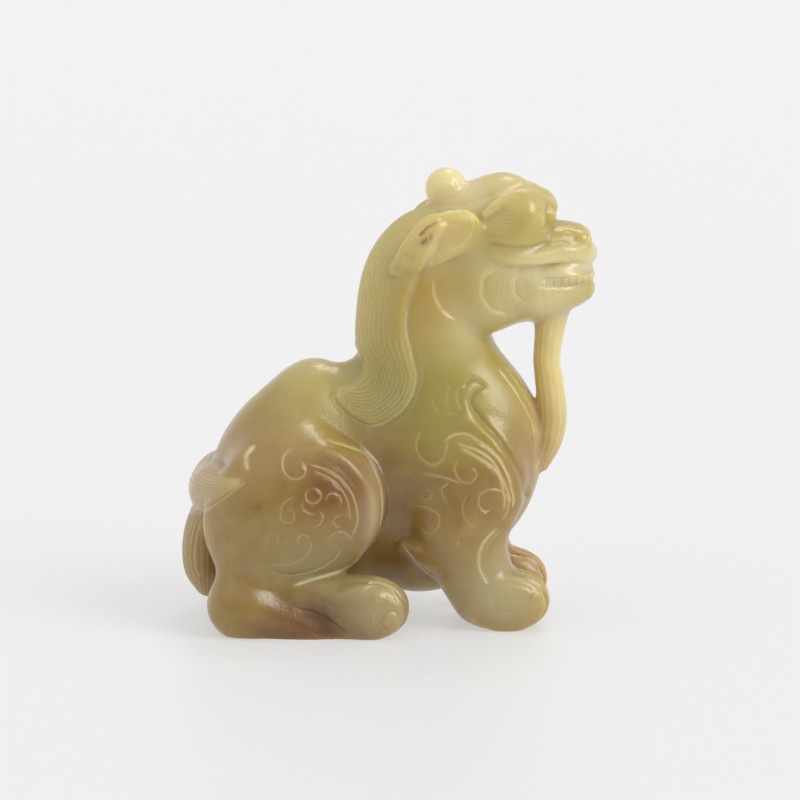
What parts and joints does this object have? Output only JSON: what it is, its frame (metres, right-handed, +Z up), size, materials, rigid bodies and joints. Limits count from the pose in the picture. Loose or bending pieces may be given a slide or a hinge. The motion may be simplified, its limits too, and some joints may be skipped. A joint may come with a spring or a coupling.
{
  "type": "qilin figure",
  "caption": "Small jade carving of a seated qilin with a curled horn, long beard, flowing mane and scrolls on its shoulders and haunches.",
  "frame": {"origin": "on the ground, under the middle of the figure's outer box", "axes": "+Z up, +X towards the head, Y across the figure, symmetrical about the XZ plane"},
  "size_m": [0.0548, 0.033, 0.06],
  "materials": {
    "jade": "hand-polished celadon jade with russet skin, soft gloss"
  },
  "bodies": {
    "root": {"qilin_figure": "jade"}
  },
  "joints": []
}
